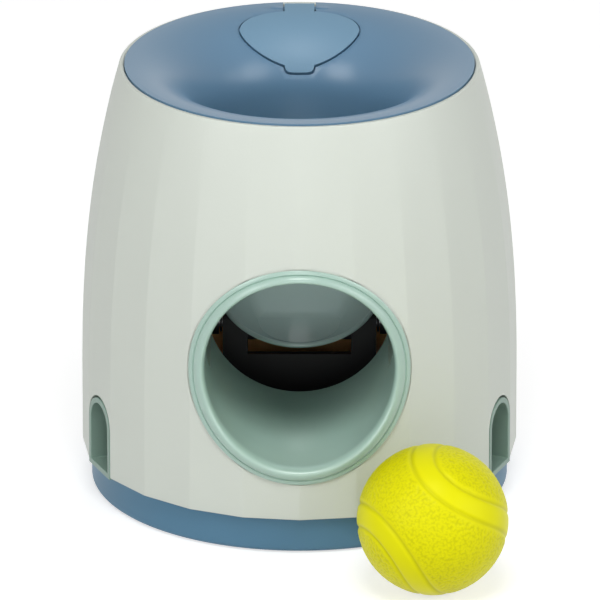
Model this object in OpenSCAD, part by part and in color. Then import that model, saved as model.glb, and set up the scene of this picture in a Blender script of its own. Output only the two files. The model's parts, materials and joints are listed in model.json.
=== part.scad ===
// Ball-drop treat dispenser for dogs: a ball put into the funnel tips a bowl inside the casing.
// The bowl turns two gates, treats slide to the side outlets and the ball rolls out of the front.
// Millimetres, +Z up, front towards -Y, origin on the floor under the casing's axis.

/* [Casing] */
// Radius of the casing across its facet corners, below the taper
casing_r = 87.5; // [84:0.5:92]
// Radius of the casing at its top rim
casing_top_r = 71.6; // [70.5:0.1:74]
// Height of the casing's top rim above the floor
casing_h = 178; // [174:1:190]
// Height of the casing's lower edge above the floor
seam_z = 15; // [12:0.5:16]
// Height where the casing starts to draw in
taper_z = 40; // [30:1:60]
// How sharply the casing draws in towards the rim
taper_power = 2.5; // [2:0.1:3]
// Wall thickness of the casing
casing_wall = 2.5; // [2:0.1:3]
// Number of upright facets round the casing
facet_count = 24; // [24]

/* [Funnel] */
// Thickness of the casing's wall round the funnel's rim
rim_wall = 1.4; // [1.2:0.1:2]
// How far the funnel's rim lies below the casing's rim
rim_below = 0.6; // [0.2:0.1:1]
// Radius of the funnel's throat
throat_r = 39; // [36:0.5:40]
// Depth of the funnel's rounded slope
slope_drop = 29; // [26:0.5:32]
// Length of the straight throat under the slope
throat_l = 31.4; // [26:0.2:34]
// Wall thickness of the funnel
funnel_wall = 2; // [1.8:0.1:2.2]

/* [Filler lid] */
// Width of the lid's oval
lid_w = 48; // [42:1:50]
// Width of the hinge strap and of the finger tab
strap_w = 12; // [10:0.5:14]
// Thickness of the lid
lid_t = 2.2; // [2:0.1:2.4]
// How far the lid stands proud of the funnel
lid_proud = 0.8; // [0.4:0.1:1]
// Gap round the lid in its recess
lid_gap = 0.6; // [0.5:0.05:0.7]
// Diameter of the lid's hinge pin
hinge_pin_d = 2; // [1.6:0.1:2.2]

/* [Ball] */
// Diameter of the ball
ball_d = 60; // [50:1:62]
// Ball's place beside the casing, to the right of its axis
ball_x = 52.5; // [40:0.5:80]
// Ball's place in front of the casing's axis
ball_y = -120.5; // [-160:0.5:-120]
// Width of the smooth band along the ball's seam
band_w = 9.5; // [8:0.5:12]
// Depth of the grooves beside the band
groove_d = 0.7; // [0.5:0.1:1.6]

/* [Ball chute] */
// Inner radius of the chute
chute_r = 37.5; // [34:0.5:38]
// Wall thickness of the chute
chute_wall = 2; // [1.6:0.1:2.2]
// Height of the chute's axis
chute_z = 76; // [73:0.5:78]
// Outer radius of the rolled lip round the mouth
lip_r = 44; // [43:0.5:45]
// Where the chute ends inside, in front of the casing's axis
chute_end_y = -6.5; // [-9:0.5:-5]

/* [Tipping bowl] */
// Radius of the bowl's rim
bowl_r = 32.5; // [31:0.5:34.5]
// Radius of the bowl's flat floor
bowl_floor_r = 18; // [15:0.5:20]
// Depth of the bowl
bowl_depth = 14; // [12:0.5:15]
// Wall thickness of the bowl
bowl_wall = 2; // [1.6:0.1:2.4]
// Forward lean of the bowl at rest, in degrees
bowl_lean = 30; // [24:1:34]
// Diameter of the axle under the bowl
axle_d = 4; // [3:0.5:5]
// Distance of the axle behind the casing's axis
axle_y = 32; // [30:0.5:34]
// Height of the axle
axle_z = 53.5; // [52:0.5:56]
// Diameter of the steel counterweight
weight_d = 12; // [10:0.5:14]
// Length of the steel counterweight
weight_l = 26; // [20:1:26]

/* [Treat path] */
// Radius of the gates' curved covers
gate_r = 24; // [22:0.5:25]
// Width of a hopper spout
spout_w = 12; // [10:0.5:13]
// Depth of a hopper spout, front to back
spout_l = 14; // [12:0.5:15]
// Distance of each spout from the casing's middle
spout_x = 48; // [47:0.5:50]
// Gap between the funnel's throat and the hopper's front wall
hopper_front_gap = 2; // [1.8:0.1:3]
// Gap between the hopper's rear wall and the casing's inside, at the hopper's open top
hopper_gap = 2; // [1.5:0.1:4]
// Half the angle that the hopper takes up, in degrees
hopper_half = 62; // [60:1:63]
// How far the hopper's open top lies below the funnel's rim
hopper_below = 27.4; // [25:0.2:30]
// Wall thickness of the hopper, slides and outlets
bin_wall = 2; // [1.6:0.1:2.2]
// Width of an outlet's frame
outlet_w = 22; // [18:0.5:22]
// Height of an outlet's frame
outlet_h = 31; // [28:0.5:36]
// Length of an outlet's tunnel
outlet_l = 24; // [20:0.5:26]
// Inner width of a treat slide
slide_w = 19; // [16:0.5:20]

/* [Base] */
// Gap between the base's edge and the casing's inside
base_gap = 0.5; // [0.4:0.1:3]
// Height of the base's upper edge, inside the casing
base_h = 18; // [17:0.5:18]
// Thickness of the base's floor and wall
base_wall = 2.5; // [2:0.1:3]
// Height of the rubber feet under the base's floor
foot_h = 3.5; // [3:0.1:5]
// Radius of a rubber foot
foot_r = 8; // [6:0.5:10]
// Distance of the feet from the axis
foot_place_r = 64; // [60:1:66]
// Clearance between fitted pieces
fit_gap = 0.3; // [0.2:0.05:0.4]
// Radial clearance of pins and screws in their holes
pin_gap = 0.06; // [0.03:0.01:0.1]

/* [Hidden] */
$fn = 64;

far = 2 * casing_h;                         // reaches past the whole toy
rim_z = casing_h - rim_below;               // top of the funnel's rim
rim_r = casing_top_r - rim_wall - fit_gap;  // outer radius of the funnel's rim
throat_low_z = rim_z - slope_drop - throat_l;
corner = 360 / facet_count;                 // angle between facet corners
outlet_turn = 4.5 * corner;                 // outlets sit in mid facet, this far round from the front
flat_r = casing_r * cos(corner / 2);        // distance of a facet's face from the axis
floor_z = foot_h + base_wall;               // top of the base's floor
skin_gap = 0.7;                             // keeps the round inside clear of the facets' middles
base_r = casing_r - casing_wall - skin_gap - base_gap;
hopper_top_z = rim_z - hopper_below;
hopper_in_r = throat_r + funnel_wall + hopper_front_gap;
hopper_out_r = skin_r(hopper_top_z) - casing_wall - skin_gap - hopper_gap;
ledge_h = 2;                                // ledge under the funnel's rim
ledge_w = 4;
seat_z = rim_z - 3;                         // top of that ledge
white = [0.86, 0.88, 0.85];
blue = [0.36, 0.50, 0.60];
mint = [0.60, 0.72, 0.68];
dark = [0.16, 0.19, 0.22];
steel = [0.72, 0.73, 0.75];
rubber = [0.13, 0.13, 0.14];
umber = [0.24, 0.17, 0.10];
lime = [0.88, 0.88, 0.08];

// Screws, all of one size: self-tapping, driven upwards from under the base unless said otherwise
screw_r = 1.5;
screw_head_r = 3;
screw_head_h = 1.8;
screw_bite = 12;                            // how far a screw goes into its post
screw_spare = 2;                            // depth of the hole past the screw's end
post_r = 4.5;                               // radius of a moulded screw post

function mix(a, b, t) = a + (b - a) * t;
function ease(t) = let (u = min(1, max(0, t))) u * u * (3 - 2 * u);
function unit(v) = v / norm(v);

// Casing radius at height z, across the corners
function taper(z) = max(0, (z - taper_z) / (casing_h - taper_z));
function skin_r(z) = casing_r - (casing_r - casing_top_r) * pow(taper(z), taper_power);

// Facets fade into a round rim: 0 at the foot, 1 from three quarters of the height up
function roundness(z) = ease((z - taper_z) / (0.75 * casing_h - taper_z));

// Points round one level of the casing: a corner, then the middle of a facet, and so on
function skin_ring(z) = [for (j = [0 : 2 * facet_count - 1])
  let (a = j * corner / 2, r = skin_r(z) * (j % 2 == 0 ? 1 : mix(cos(corner / 2), 1, roundness(z))))
  [r * cos(a), r * sin(a), z]];

// Solid through a stack of point rings, closed at both ends, rings counted anticlockwise from above
module stack(rings) {
  n = len(rings[0]);
  m = len(rings);
  walls = [for (i = [0 : m - 2], j = [0 : n - 1]) each let (k = (j + 1) % n)
    [[i * n + j, (i + 1) * n + j, i * n + k], [i * n + k, (i + 1) * n + j, (i + 1) * n + k]]];
  polyhedron([for (ring = rings) each ring],
    concat([[for (j = [0 : n - 1]) j]], walls, [[for (j = [n - 1 : -1 : 0]) (m - 1) * n + j]]));
}

// Cross slot for a screw head of radius r, cut depth deep to each side of z = 0
module cross_slot(r, depth) translate([0, 0, -depth]) linear_extrude(2 * depth) {
  square([1.2 * r, 0.3 * r], center = true);
  square([0.3 * r, 1.2 * r], center = true);
}

// Screw pointing up, with the underside of its head at z = 0
module screw(shank) color(steel) difference() {
  union() {
    translate([0, 0, -screw_head_h]) cylinder(r = screw_head_r, h = screw_head_h);
    cylinder(r = screw_r, h = shank);
  }
  translate([0, 0, -screw_head_h]) cross_slot(screw_head_r, 0.55 * screw_head_h);
}
module screw_hole(depth) translate([0, 0, -far]) cylinder(r = screw_r + pin_gap, h = far + depth);

// Casing

boss_place_r = base_r - base_wall - post_r - fit_gap;
boss_places = [for (a = [40, 140, 220, 320]) boss_place_r * [sin(a), -cos(a)]];
boss_low_z = floor_z + 10;                  // where the casing's posts meet the base's posts
boss_h = 34;
levels = 12;

module casing_inside() {
  top = seat_z - ledge_h;
  inner = [for (i = [0 : levels]) let (z = mix(seam_z - 1, top, i / levels))
    [skin_r(z) - casing_wall - skin_gap, z]];
  rotate_extrude($fn = 256) polygon(concat([[0, seam_z - 1]], inner,
    [[rim_r - ledge_w, top], [rim_r - ledge_w, seat_z], [rim_r + fit_gap, seat_z],
      [rim_r + fit_gap, far], [0, far]]));
}

module arch(w, h, l) {
  rotate([90, 0, 90]) linear_extrude(l) {
    translate([-w / 2, 0]) square([w, h - w / 2]);
    translate([0, h - w / 2]) circle(d = w);
  }
}

// Moves a piece that points along +X to an outlet: side 1 is right, -1 is left, seen from the front
module at_outlet(side) mirror([side < 0 ? 1 : 0, 0, 0]) rotate([0, 0, outlet_turn - 90]) children();

module body_shell() color(white) {
  post_out = casing_r - casing_wall - skin_gap + 1;
  rib_t = 2.4;
  difference() {
    union() {
      difference() {
        stack([for (i = [0 : levels]) skin_ring(mix(seam_z, casing_h, i / levels))]);
        casing_inside();
      }
      for (p = boss_places) {
        translate([p.x, p.y, boss_low_z]) cylinder(r = post_r, h = boss_h);
        rotate([0, 0, atan2(p.y, p.x)]) translate([norm(p), -rib_t / 2, base_h + 2])
          cube([post_out - norm(p), rib_t, boss_low_z + boss_h - base_h - 2]);
      }
    }
    for (p = boss_places) translate([p.x, p.y, 0]) screw_hole(boss_low_z + screw_bite + screw_spare);
    translate([0, 0, chute_z]) rotate([90, 0, 0])
      cylinder(r = chute_r + chute_wall + fit_gap, h = far);
    for (side = [-1, 1]) at_outlet(side) translate([flat_r - outlet_l / 2, 0, seam_z - 1])
      arch(outlet_w + 2 * fit_gap, outlet_h + 1 + fit_gap, outlet_l);
    hinge_clearance();
  }
}

// Funnel: a rounded slope from the rim into a round throat

slope_w = rim_r - throat_r;
slope_steps = 20;
// Point on the slope at angle t, moved off the surface by d towards the seen side
function slope_point(t, d) = let (n = unit([-slope_drop * sin(t), slope_w * cos(t)]))
  [rim_r - slope_w * sin(t), rim_z - slope_drop * (1 - cos(t))] + d * n;
function slope_curve(d) = [for (i = [0 : slope_steps]) slope_point(90 * i / slope_steps, d)];
function reversed(v) = [for (i = [len(v) - 1 : -1 : 0]) v[i]];

// Layer of the funnel from d = over down to d = -under, with its throat down to low_z
module slope_layer(over, under, low_z) rotate_extrude($fn = 128)
  polygon(concat(slope_curve(over), [[throat_r - over, low_z], [throat_r + under, low_z]],
    reversed(slope_curve(-under))));

// Space above the funnel's surface, moved into the wall by d
module above_slope(d) rotate_extrude($fn = 128)
  polygon(concat([[0, far], [rim_r, far]], slope_curve(-d), [[throat_r + d, 0], [0, 0]]));

// Lid outline, seen square to the slope at the lid's middle
lid_lean = 43;                              // angle of that view from straight down
lid_mid = 32.1;                             // the lid's widest place, along the slope
lid_up = 12.2;
lid_down = 14.2;
lid_low_power = 1.7;                        // makes the lower half more pointed than an ellipse
tab_root = 23;                              // inside the oval, where the finger tab starts
tab_end = 16.1;
tab_power = 6;                              // rounds the tab's corners
feather_t = 0.2;                            // depth of the lid's thinned upper edge in its recess
feather_w = 2.4;
feather_up = 5;                             // how high above the slope the edge is pared away
feather_y = rim_r - 20;                     // the edge is thinned behind here
hinge_y = rim_r - 3.3;
hinge_z = rim_z - 1.8;
barrel_r = 1.9;

// Point at angle a on an oval of half width w and half height h; higher powers are squarer
function oval_point(a, w, h, power) =
  [w * sign(cos(a)) * pow(abs(cos(a)), 2 / power), h * sign(sin(a)) * pow(abs(sin(a)), 2 / power)];
function egg(grow) = [for (a = [0 : 5.625 : 359]) [0, lid_mid] +
  oval_point(a, lid_w / 2 + grow, (a > 180 ? lid_down : lid_up) + grow, a > 180 ? lid_low_power : 2)];
function tab(grow) = [for (a = [180 : 9 : 360]) [0, tab_root] +
  oval_point(a, strap_w / 2 + grow, tab_root - tab_end + grow, tab_power)];

module lid_prism(grow) translate([0, 0, rim_z]) rotate([lid_lean, 0, 0]) translate([0, 0, -75])
  linear_extrude(60) {
    polygon(egg(grow));
    translate([-strap_w / 2 - grow, lid_mid]) square([strap_w + 2 * grow, 26]);
    polygon(tab(grow));
  }

module filler_prism(grow) translate([0, 0, rim_z]) rotate([lid_lean, 0, 0]) translate([0, 0, -52])
  linear_extrude(40) polygon(egg(grow - 5));

module hinge_axis(r, l) translate([-l / 2, hinge_y, hinge_z]) rotate([0, 90, 0]) cylinder(r = r, h = l);

knuckle_l = 5;
hinge_l = strap_w + 2 * lid_gap + 2 * knuckle_l;
module hinge_clearance() translate([-hinge_l / 2 - fit_gap, hinge_y - 8, seat_z - ledge_h - 1])
  cube([hinge_l + 2 * fit_gap, 10.1, ledge_h + 4]);

hook_turns = [45, 135, 225, 315];

// Ears that carry the hopper, one beyond each of its ends
ear_t = 3;
ear_below = 10;
ear_z = hopper_top_z - ear_below;           // where an ear meets the post above it
ear_r = (hopper_in_r + hopper_out_r) / 2;
ear_turn = 90 - hopper_half - asin((post_r + 1) / ear_r);
module at_ears(z) for (side = [0, 1]) mirror([side, 0, 0]) rotate([0, 0, ear_turn])
  translate([ear_r, 0, z]) children();

module snap_hook() {
  hook_w = 10;
  ledge_in = rim_r - ledge_w;
  translate([ledge_in - 2.4, -hook_w / 2, seat_z - 7]) cube([2, hook_w, 9]);
  translate([ledge_in - 1, -hook_w / 2, seat_z - ledge_h - 2.4]) cube([2.4, hook_w, 2.2]);
}

module funnel_top() color(blue) {
  seat_under = lid_t - lid_proud + 2;
  difference() {
    union() {
      slope_layer(0, funnel_wall, throat_low_z);
      difference() {
        translate([0, 0, seat_z]) cylinder(r = rim_r, h = 2);
        translate([0, 0, seat_z - 1]) cylinder(r = rim_r - ledge_w, h = 4);
      }
      intersection() {
        slope_layer(-0.5, seat_under, throat_low_z);
        lid_prism(lid_gap + 2);
        cylinder(r = rim_r - ledge_w - fit_gap, h = far);
      }
      difference() {
        intersection() {
          filler_prism(bin_wall);
          translate([-far / 2, 0, hopper_top_z + 2]) cube(far);
        }
        above_slope(1);
      }
      difference() {
        at_ears(ear_z) cylinder(r = post_r, h = rim_z - ear_z);
        above_slope(1);
      }
      for (side = [-1, 1]) translate([side * (strap_w / 2 + lid_gap + knuckle_l / 2), hinge_y - 0.6,
        (seat_z + rim_z) / 2 - 0.5]) cube([knuckle_l, 4.8, rim_z - seat_z + 0.6], center = true);
      for (a = hook_turns) rotate([0, 0, a]) snap_hook();
    }
    difference() {
      lid_prism(lid_gap);
      difference() {
        slope_layer(-(lid_t - lid_proud) - 0.2, 20, 0);
        translate([-far / 2, -far, 0]) cube([far, far, far]);
      }
    }
    filler_prism(0);
    translate([-strap_w / 2 - lid_gap, hinge_y - 3.2, seat_z - 2]) cube([strap_w + 2 * lid_gap, 20, 20]);
    hinge_axis(hinge_pin_d / 2 + pin_gap, hinge_l + 2);
    at_ears(0) screw_hole(ear_z + screw_bite + screw_spare);
  }
}

// Thins the lid's upper edge from below, so that it swings clear of the recess
module feather() difference() {
  slope_layer(-feather_t, feather_up, throat_low_z);
  lid_prism(-feather_w);
  translate([-far / 2, -far, 0]) cube([far, far + feather_y, far]);
}

module filler_lid() color(blue) difference() {
  union() {
    difference() {
      intersection() {
        slope_layer(lid_proud, lid_t - lid_proud, throat_low_z);
        lid_prism(0);
        translate([-far / 2, 0, 0]) cube([far, hinge_y, far]);
      }
      feather();
    }
    hinge_axis(barrel_r, strap_w);
    translate([-strap_w / 2, hinge_y - 2, hinge_z]) cube([strap_w, 2, barrel_r]);
  }
  hinge_axis(hinge_pin_d / 2 + pin_gap, far);
}

module lid_hinge_pin() color(blue) hinge_axis(hinge_pin_d / 2, hinge_l - 1);

// Base

skirt_low_z = 0.6;
foot_places = concat([[0, 0]], [for (a = [0, 90, 180, 270]) foot_place_r * [sin(a), cos(a)]]);
chute_post_x = 16;
chute_post_in = 18;                         // chute's posts in front of its inner end
chassis_post_x = 30;
chassis_post_front = 16;                    // chassis posts in front of the axle and behind it
chassis_post_back = 24;
chute_posts = [for (side = [-1, 1]) [side * chute_post_x, chute_end_y - chute_post_in]];
chassis_posts = [for (x = [-chassis_post_x, chassis_post_x], y = [-chassis_post_front, chassis_post_back])
  [x, axle_y + y]];
base_rib_in = 20;                           // inner end of a rib under the base
base_rib = 2;                               // width and height of such a rib

module base_pan() color(blue) difference() {
  union() {
    rotate_extrude($fn = 128) polygon(concat(
      [[0, foot_h], [base_r - base_wall, foot_h], [base_r - base_wall, skirt_low_z]],
      [for (i = [0 : 6]) let (a = -90 + 15 * i) [base_r - 2 + 2 * cos(a), skirt_low_z + 2 + 2 * sin(a)]],
      [[base_r, base_h], [base_r - base_wall, base_h], [base_r - base_wall, floor_z], [0, floor_z]]));
    for (p = boss_places) translate([p.x, p.y, floor_z - 1])
      cylinder(r = post_r, h = boss_low_z - floor_z + 1);
    for (p = foot_places) translate([p.x, p.y, foot_h - 1.5]) difference() {
      cylinder(r = foot_r + 2, h = 2);
      translate([0, 0, -1]) cylinder(r = foot_r + fit_gap, h = 2.5);
    }
    for (a = [0 : 45 : 315]) rotate([0, 0, a + 22.5])
      translate([base_rib_in, -base_rib / 2, foot_h + 0.5 - base_rib])
        cube([base_r - base_wall + 1 - base_rib_in, base_rib, base_rib]);
  }
  for (p = concat(boss_places, chute_posts, chassis_posts)) translate([p.x, p.y, 0]) screw_hole(far);
  for (p = concat(boss_places, chute_posts, chassis_posts)) translate([p.x, p.y, 0])
    cylinder(r = screw_head_r + 0.5, h = foot_h);
  for (side = [-1, 1]) at_outlet(side)
    translate([base_r - outlet_l / 2, 0, seam_z - fit_gap])
      arch(outlet_w + 2 * fit_gap, outlet_h + fit_gap, outlet_l);
}

module rubber_feet() color(rubber) for (p = foot_places) translate([p.x, p.y, 0]) {
  translate([0, 0, 1]) cylinder(r = foot_r, h = foot_h - 1);
  cylinder(r1 = foot_r - 1, r2 = foot_r, h = 1);
}

module screws_under_base(places, shank) for (p = places) translate([p.x, p.y, foot_h]) screw(shank);
module base_screws() screws_under_base(boss_places, boss_low_z + screw_bite - foot_h);
module chute_screws() screws_under_base(chute_posts, floor_z + screw_bite - foot_h);
module chassis_screws() screws_under_base(chassis_posts, floor_z + chassis_bite - foot_h);

// Ball chute: a tube from the front to the middle, open above its inner end, with a rolled lip

lip_over = 1.6;                             // how far the lip stands out of the casing
lip_under = 0.3;                            // keeps the lip's underside off the casing
lip_edge = 0.4;                             // thickness of the lip's outer edge
lip_flange = 1.7;                           // width of the low flange round the lip's bead
flange_h = 0.9;                             // how far that flange stands out of the casing
groove_h = 0.55;                            // height of the groove between bead and flange
lip_steps = 72;
chute_out_r = chute_r + chute_wall;
chute_roof_y = -throat_r - 6;               // the ball drops in behind here
chute_open = 12;                            // how far below the chute's axis its side walls end there

// Casing surface in front of a point beside the chute's axis, facets and all
function ring_point(z, k) = let (r = skin_r(z) * (k % 2 == 0 ? 1 : mix(cos(corner / 2), 1, roundness(z))))
  r * [sin(k * corner / 2), cos(k * corner / 2)];
function front_y(x, z) = let (k = max([for (k = [0 : 10]) if (ring_point(z, k).x <= abs(x)) k]),
  p = ring_point(z, k), q = ring_point(z, k + 1)) -mix(p.y, q.y, (abs(x) - p.x) / (q.x - p.x));

// Section of chute and lip: [radius from the chute's axis, distance out of the casing, 1 at the inner end]
bead_r = lip_r - lip_flange;
lip_mid = (chute_r + bead_r) / 2;
lip_half = lip_mid - chute_r;
chute_section = concat(
  [[chute_r, 0, 1], [chute_r, -4, 0]],
  [for (i = [0 : 8]) let (a = 180 - 22.5 * i)
    [lip_mid + lip_half * cos(a), lip_over * sin(a) + groove_h * i / 8, 0]],
  [[bead_r + lip_flange * 0.3, flange_h, 0], [lip_r - lip_flange * 0.25, flange_h, 0],
    [lip_r, lip_under + lip_edge, 0], [lip_r, lip_under, 0],
    [chute_out_r, lip_under, 0], [chute_out_r, 0, 1]]);

module chute_tube() {
  n = len(chute_section);
  points = [for (i = [0 : lip_steps - 1], p = chute_section)
    let (a = 360 * i / lip_steps, x = p[0] * cos(a), z = chute_z + p[0] * sin(a))
    [x, p[2] == 1 ? chute_end_y : front_y(x, z) - p[1], z]];
  faces = [for (i = [0 : lip_steps - 1], j = [0 : n - 1]) each
    let (i2 = (i + 1) % lip_steps, k = (j + 1) % n)
    [[i * n + j, i2 * n + j, i * n + k], [i * n + k, i2 * n + j, i2 * n + k]]];
  polyhedron(points, faces);
}

module ball_chute() color(mint) difference() {
  union() {
    chute_tube();
    difference() {
      for (p = chute_posts) translate([p.x, p.y, floor_z]) cylinder(r = post_r, h = chute_z - chute_r);
      translate([0, 0, chute_z]) rotate([90, 0, 0]) cylinder(r = chute_r + 0.8, h = far);
    }
  }
  translate([-far / 2, chute_roof_y, chute_z - chute_open]) cube(far);
  for (p = chute_posts) translate([p.x, p.y, 0]) screw_hole(floor_z + screw_bite + screw_spare);
}

// Chassis: two posts that carry the bowl's axle, a web between them and a beam for the stop

chassis_t = 3;
post_in_x = 21;
post_out_x = 31;
post_half_y = 7;
chassis_half_x = 36;
chassis_front = 22;                         // plate in front of the axle
chassis_l = 50;                             // plate from front to back
gusset_below = 16;                          // top of the gussets below the axle
gusset_l = 20;
chassis_bite = 7;                           // how far its screws go into its short posts
web_below = 11.6;                           // top of the web below the axle
web_t = 3;
cap_h = 5.5;
cap_r = 8;                                  // rounds the caps' shoulders, clear of the tipping bowl
cap_screw_y = [axle_y - 4.5, axle_y + 4.5];
cap_bite = 7;
cap_screw_r = 0.9;
weight_y = axle_y + 24;
weight_z = axle_z + 2.5;
cradle_r = weight_d / 2 + 2;
bumper_r = 5;
bumper_h = 6;
bumper_top_z = weight_z - cradle_r - fit_gap;
beam_t = 3;
beam_z = bumper_top_z - bumper_h;           // top of the beam that carries the bumper

module axle_bore(r) translate([-far / 2, axle_y, axle_z]) rotate([0, 90, 0]) cylinder(r = r, h = far);

module cap_screw_places() for (side = [-1, 1], y = cap_screw_y)
  translate([side * (post_in_x + post_out_x) / 2, y, axle_z + cap_h]) children();

module chassis() color(dark) difference() {
  union() {
    translate([-chassis_half_x, axle_y - chassis_front, floor_z])
      cube([2 * chassis_half_x, chassis_l, chassis_t]);
    for (side = [0, 1]) mirror([side, 0, 0]) {
      translate([post_in_x, axle_y - post_half_y, floor_z])
        cube([post_out_x - post_in_x, 2 * post_half_y, axle_z - floor_z]);
      translate([post_in_x, 0, 0]) rotate([90, 0, 90]) linear_extrude(web_t)
        polygon([[axle_y, floor_z + 1], [axle_y, axle_z - gusset_below],
          [axle_y + post_half_y - 1, axle_z - gusset_below], [axle_y + gusset_l, floor_z + 1]]);
      translate([post_in_x + 0.5, 0, 0]) rotate([90, 0, 90]) linear_extrude(web_t)
        polygon([[axle_y, beam_z - 14], [axle_y, beam_z - 0.4], [weight_y + bumper_r, beam_z - 0.4],
          [weight_y + bumper_r, beam_z - beam_t + 0.4]]);
    }
    translate([-post_in_x - 2, weight_y - bumper_r - 1, beam_z - beam_t])
      cube([2 * post_in_x + 4, 2 * bumper_r + 2, beam_t]);
    translate([-post_in_x - 1, axle_y - post_half_y + 0.5, floor_z + 1])
      cube([2 * post_in_x + 2, web_t, axle_z - web_below - floor_z - 1]);
    for (p = chassis_posts) translate([p.x, p.y, floor_z]) cylinder(r = post_r, h = chassis_bite + 2);
  }
  axle_bore(axle_d / 2 + pin_gap);
  for (p = chassis_posts) translate([p.x, p.y, 0]) screw_hole(floor_z + chassis_bite + 1);
  cap_screw_places() translate([0, 0, -cap_h - cap_bite - 1]) cylinder(r = cap_screw_r + pin_gap, h = far);
}

module bearing_caps() color(dark) difference() {
  for (side = [0, 1]) mirror([side, 0, 0]) translate([post_in_x, axle_y, axle_z]) intersection() {
    translate([0, -post_half_y, 0]) cube([post_out_x - post_in_x, 2 * post_half_y, cap_h]);
    rotate([0, 90, 0]) cylinder(r = cap_r, h = far);
  }
  axle_bore(axle_d / 2 + pin_gap);
  cap_screw_places() translate([0, 0, -far / 2]) cylinder(r = cap_screw_r + pin_gap, h = far);
}

cap_head_r = 2 * cap_screw_r;
cap_head_h = 1.2;
module bearing_cap_screws() color(steel) cap_screw_places() difference() {
  union() {
    cylinder(r = cap_head_r, h = cap_head_h);
    translate([0, 0, -cap_h - cap_bite]) cylinder(r = cap_screw_r, h = cap_h + cap_bite);
  }
  translate([0, 0, cap_head_h]) cross_slot(cap_head_r, 0.55 * cap_head_h);
}

module stop_bumper() color(rubber) translate([0, weight_y, bumper_top_z - bumper_h])
  cylinder(r = bumper_r, h = bumper_h);

// Tipping bowl, leaning forward on its axle

bowl_seat = [0, axle_y, axle_z];
bowl_shift = 4;                             // axle in front of the bowl's middle, along its floor
bowl_lift = 8.2;                            // bowl's floor above the axle

module bowl_frame() translate(bowl_seat) rotate([bowl_lean, 0, 0])
  translate([0, bowl_shift, bowl_lift]) children();

// Inside of the bowl, from its middle to its rim: a flat floor, a round corner and a spreading wall
bowl_corner = 8;
bowl_slope = atan2(bowl_depth, bowl_r - bowl_floor_r);
corner_reach = bowl_corner * tan(bowl_slope / 2);
function bowl_curve(d) = concat(
  [for (i = [0 : 5]) let (a = -90 + bowl_slope * i / 5)
    [bowl_floor_r - corner_reach + (bowl_corner + d) * cos(a), bowl_corner + (bowl_corner + d) * sin(a)]],
  [[bowl_r + d * sin(bowl_slope), bowl_depth - d * cos(bowl_slope)]]);
lug_x = 13;
lug_t = 6;
lug_r = 5;

module tipping_bowl() color(mint) difference() {
  union() {
    bowl_frame() {
      rotate_extrude($fn = 128) polygon(concat([[0, 0]], bowl_curve(0),
        [[bowl_r + bowl_wall * sin(bowl_slope) / 2, bowl_depth + 0.3]],
        reversed(bowl_curve(bowl_wall)), [[0, -bowl_wall]]));
      for (side = [0, 1]) mirror([side, 0, 0])
        translate([lug_x + 0.4, 0.7 - bowl_shift - lug_r, -bowl_lift])
          cube([lug_t - 0.8, 2 * lug_r - 1.4, bowl_lift - 0.8]);
    }
    for (side = [0, 1]) mirror([side, 0, 0]) translate([lug_x, axle_y, axle_z])
      rotate([0, 90, 0]) cylinder(r = lug_r, h = lug_t);
    translate([-3, 0, 0]) rotate([90, 0, 90]) linear_extrude(6)
      polygon([[axle_y + 1, axle_z + 6], [axle_y + 1, axle_z + 8.5], [axle_y + 11, axle_z + 14.7],
        [weight_y + 2, weight_z + cradle_r - 0.5], [weight_y, weight_z - cradle_r + 3],
        [axle_y + 12, axle_z - 2]]);
    translate([-weight_l / 2, weight_y, weight_z]) rotate([0, 90, 0]) cylinder(r = cradle_r, h = weight_l);
  }
  axle_bore(axle_d / 2 + pin_gap);
  translate([-far / 2, weight_y, weight_z]) rotate([0, 90, 0])
    cylinder(r = weight_d / 2 + pin_gap, h = far);
}

clip_t = 1;
gate_hub_x = post_out_x + clip_t + 2 * fit_gap;
gate_web_x = spout_x - spout_w / 2 - bin_wall - 1.4;
gate_end_x = spout_x + spout_w / 2 + 1.5;

module bowl_axle() color(steel) translate([-gate_web_x - 1, axle_y, axle_z]) rotate([0, 90, 0])
  cylinder(d = axle_d, h = 2 * gate_web_x + 2);

module axle_clips() color(dark) for (side = [-1, 1])
  translate([side * (post_out_x + fit_gap + clip_t / 2), axle_y, axle_z]) rotate([0, 90, 0]) difference() {
    cylinder(r = axle_d, h = clip_t, center = true);
    cylinder(r = axle_d / 2 + pin_gap, h = far, center = true);
    translate([-axle_d / 4, 0, -far / 2]) cube([axle_d / 2, far, far]);
  }

module counterweight() color(steel) translate([-weight_l / 2, weight_y, weight_z]) rotate([0, 90, 0])
  cylinder(d = weight_d, h = weight_l);

// Gates: curved covers on the axle's ends that close the hopper's spouts

gate_t = 2;
gate_half = asin((spout_l / 2 + 3) / gate_r);
hub_r = 5;

module gate_sector(r0, r1, l, half) rotate([90, 0, 90]) linear_extrude(l) difference() {
  intersection() {
    circle(r = r1, $fn = 96);
    polygon([[0, 0], 2 * r1 * [sin(half), cos(half)], [0, 4 * r1], 2 * r1 * [-sin(half), cos(half)]]);
  }
  circle(r = r0, $fn = 96);
}

module gate() color(dark) translate([0, axle_y, axle_z]) difference() {
  union() {
    translate([gate_hub_x, 0, 0]) rotate([0, 90, 0])
      cylinder(r = hub_r, h = gate_web_x + gate_t - gate_hub_x);
    translate([gate_web_x, 0, 0]) gate_sector(hub_r - 1, gate_r, gate_t, gate_half);
    translate([gate_web_x, 0, 0]) gate_sector(gate_r - gate_t, gate_r, gate_end_x - gate_web_x, gate_half);
  }
  rotate([0, 90, 0]) cylinder(d = axle_d + 2 * pin_gap, h = far);
}
module right_gate() gate();
module left_gate() mirror([1, 0, 0]) gate();

// Hopper: a curved bin behind the throat, with a ridged floor that parts the treats to two spouts

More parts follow.
